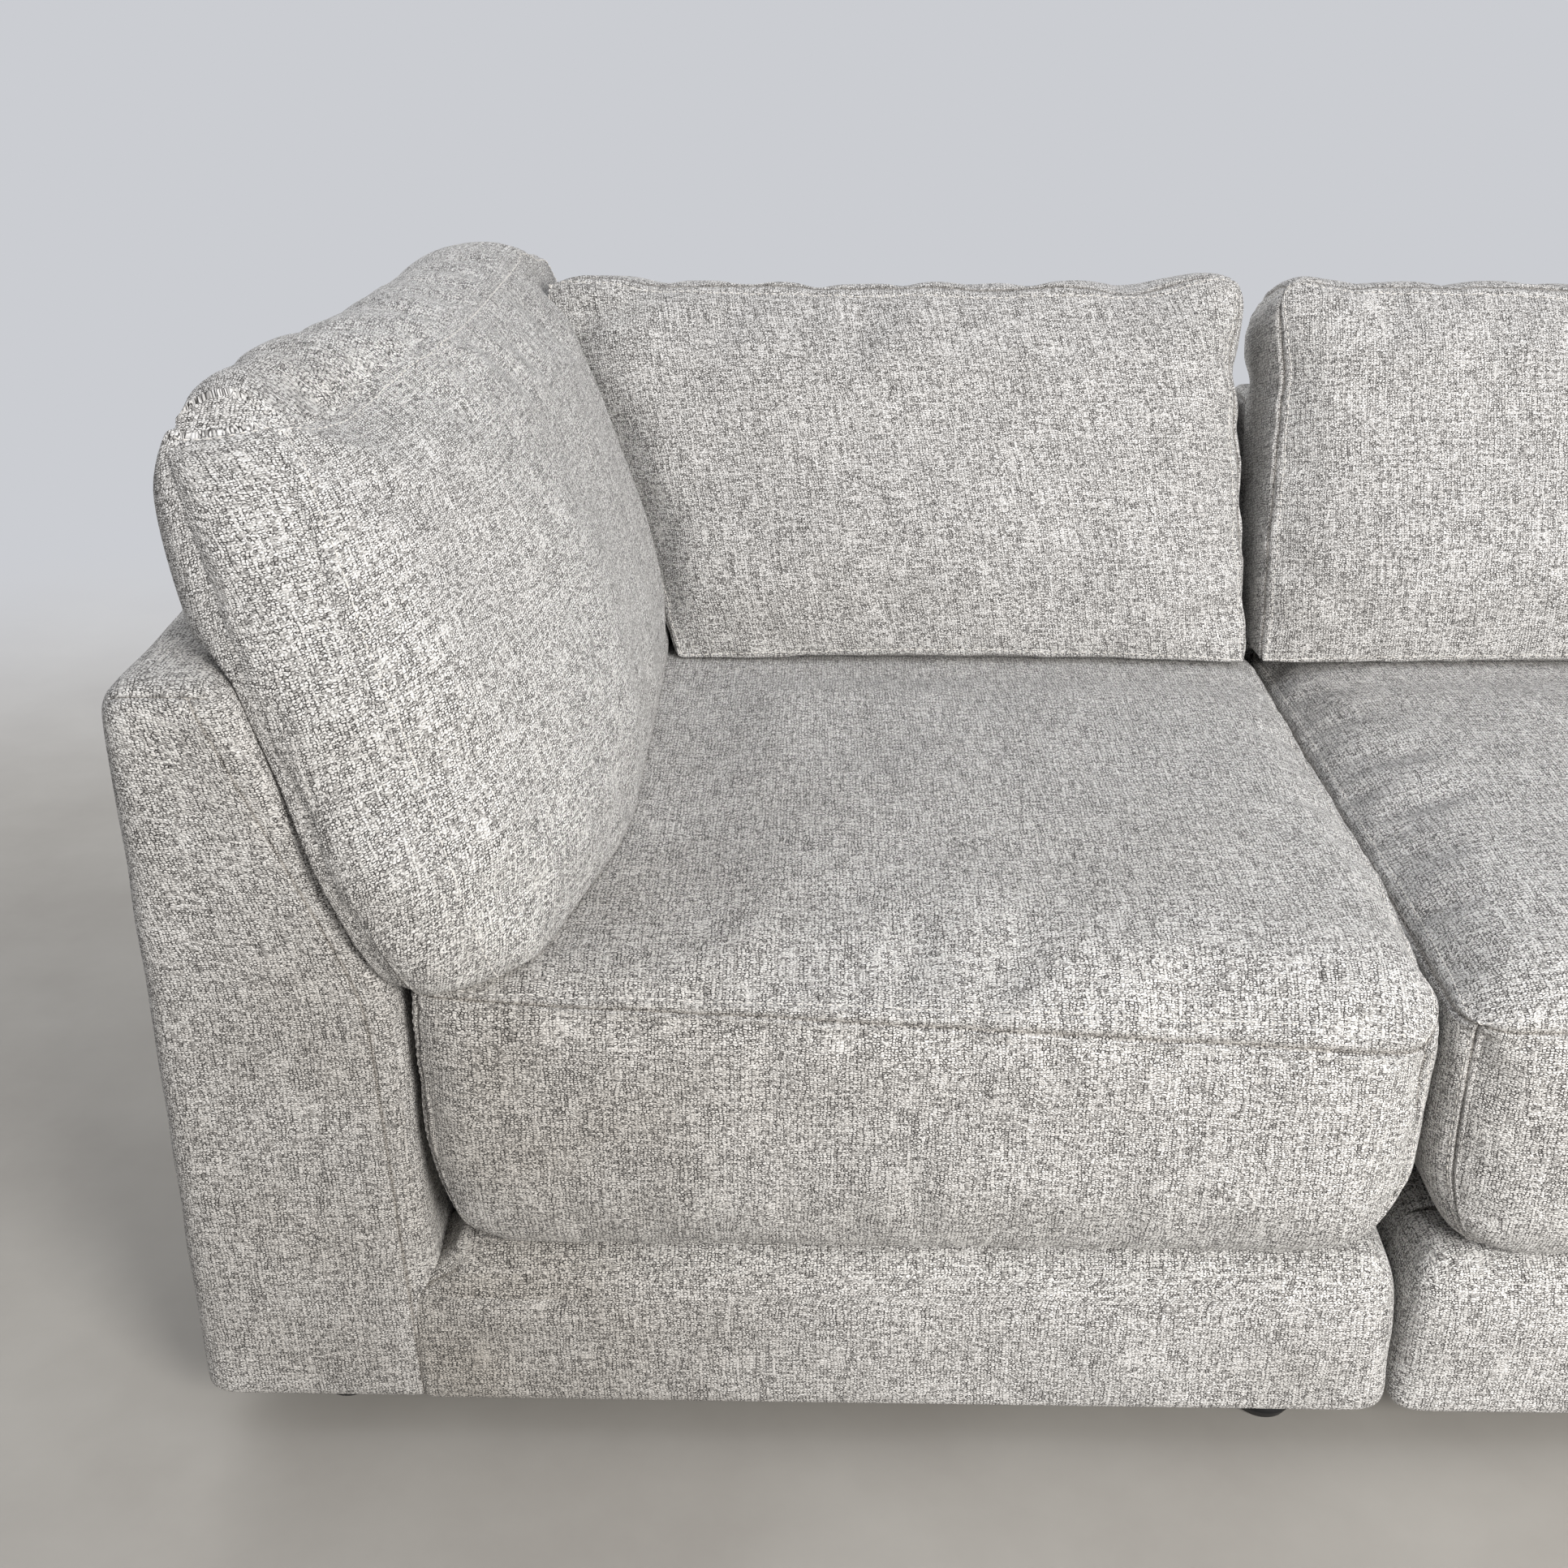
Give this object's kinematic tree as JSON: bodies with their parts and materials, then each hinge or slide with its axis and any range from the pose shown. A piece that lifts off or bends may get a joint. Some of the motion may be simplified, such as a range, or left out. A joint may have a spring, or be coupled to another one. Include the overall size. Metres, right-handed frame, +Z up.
{
  "type": "sectional sofa",
  "caption": "Low straight sectional sofa of joined modules: padded arms and backs that thin towards the top, loose box seat cushions, leaning back and side cushions, woven cover.",
  "frame": {"origin": "on the floor under the middle of the sofa", "axes": "+X along the sofa to the right seen from the front, +Z up, the front faces -Y"},
  "size_m": [2.776, 0.965, 0.8461],
  "materials": {
    "upholstery_fabric": "chunky heathered plain weave",
    "cushion_fabric": "chunky heathered plain weave over foam and fibre",
    "deck_cloth": "plain cotton over a thin pad",
    "dust_cloth": "thin non-woven",
    "timber": "sawn, unfinished",
    "spring_steel": "oiled dark wire",
    "foot_plastic": "moulded, fine grain",
    "zinc_steel": "zinc plated"
  },
  "bodies": {
    "left_module": {"left_back_frame": "timber", "left_back_cover": "upholstery_fabric", "left_arm_frame": "timber", "left_arm_cover": "upholstery_fabric", "left_base_side_cover": "upholstery_fabric", "left_front_rail": "timber", "left_rear_rail": "timber", "left_side_rail": "timber", "left_base_front_cover": "upholstery_fabric", "left_springs": "spring_steel", "left_deck_pad": "deck_cloth", "left_dust_cover": "dust_cloth", "left_foot_front_outer": "foot_plastic", "left_foot_front_inner": "foot_plastic", "left_foot_rear_outer": "foot_plastic", "left_foot_rear_inner": "foot_plastic", "left_connector_tongue": "zinc_steel"},
    "left_seat": {"left_seat_cushion": "cushion_fabric"},
    "left_back": {"left_back_cushion": "cushion_fabric"},
    "left_side": {"left_side_cushion": "cushion_fabric"},
    "middle_module": {"middle_back_frame": "timber", "middle_back_cover": "upholstery_fabric", "middle_base_left_cover": "upholstery_fabric", "middle_base_right_cover": "upholstery_fabric", "middle_front_rail": "timber", "middle_rear_rail": "timber", "middle_left_rail": "timber", "middle_right_rail": "timber", "middle_base_front_cover": "upholstery_fabric", "middle_springs": "spring_steel", "middle_deck_pad": "deck_cloth", "middle_dust_cover": "dust_cloth", "middle_foot_front_outer": "foot_plastic", "middle_foot_front_inner": "foot_plastic", "middle_foot_rear_outer": "foot_plastic", "middle_foot_rear_inner": "foot_plastic", "middle_connector_socket": "zinc_steel", "middle_connector_tongue": "zinc_steel"},
    "middle_seat": {"middle_seat_cushion": "cushion_fabric"},
    "middle_back": {"middle_back_cushion": "cushion_fabric"},
    "right_module": {"right_back_frame": "timber", "right_back_cover": "upholstery_fabric", "right_arm_frame": "timber", "right_arm_cover": "upholstery_fabric", "right_base_side_cover": "upholstery_fabric", "right_front_rail": "timber", "right_rear_rail": "timber", "right_side_rail": "timber", "right_base_front_cover": "upholstery_fabric", "right_springs": "spring_steel", "right_deck_pad": "deck_cloth", "right_dust_cover": "dust_cloth", "right_foot_front_outer": "foot_plastic", "right_foot_front_inner": "foot_plastic", "right_foot_rear_outer": "foot_plastic", "right_foot_rear_inner": "foot_plastic", "right_connector_socket": "zinc_steel"},
    "right_seat": {"right_seat_cushion": "cushion_fabric"},
    "right_back": {"right_back_cushion": "cushion_fabric"},
    "right_side": {"right_side_cushion": "cushion_fabric"}
  },
  "joints": [
    {"name": "left_seat_slides_out", "type": "slide", "parent": "left_module", "child": "left_seat", "axis": [0, -1, 0], "range_m": [0, 0.8]},
    {"name": "left_back_lifts_off", "type": "slide", "parent": "left_module", "child": "left_back", "axis": [0, 0.3806, 0.9248], "range_m": [0, 0.45]},
    {"name": "left_side_lifts_off", "type": "slide", "parent": "left_module", "child": "left_side", "axis": [-0.3806, 0, 0.9248], "range_m": [0, 0.45]},
    {"name": "middle_module_parts_from_left", "type": "slide", "parent": "left_module", "child": "middle_module", "axis": [1, 0, 0], "range_m": [0, 0.3]},
    {"name": "middle_seat_slides_out", "type": "slide", "parent": "middle_module", "child": "middle_seat", "axis": [0, -1, 0], "range_m": [0, 0.8]},
    {"name": "middle_back_lifts_off", "type": "slide", "parent": "middle_module", "child": "middle_back", "axis": [0, 0.3806, 0.9248], "range_m": [0, 0.45]},
    {"name": "right_module_parts_from_middle", "type": "slide", "parent": "middle_module", "child": "right_module", "axis": [1, 0, 0], "range_m": [0, 0.3]},
    {"name": "right_seat_slides_out", "type": "slide", "parent": "right_module", "child": "right_seat", "axis": [0, -1, 0], "range_m": [0, 0.8]},
    {"name": "right_back_lifts_off", "type": "slide", "parent": "right_module", "child": "right_back", "axis": [0, 0.3806, 0.9248], "range_m": [0, 0.45]},
    {"name": "right_side_lifts_off", "type": "slide", "parent": "right_module", "child": "right_side", "axis": [0.3806, 0, 0.9248], "range_m": [0, 0.45]}
  ]
}
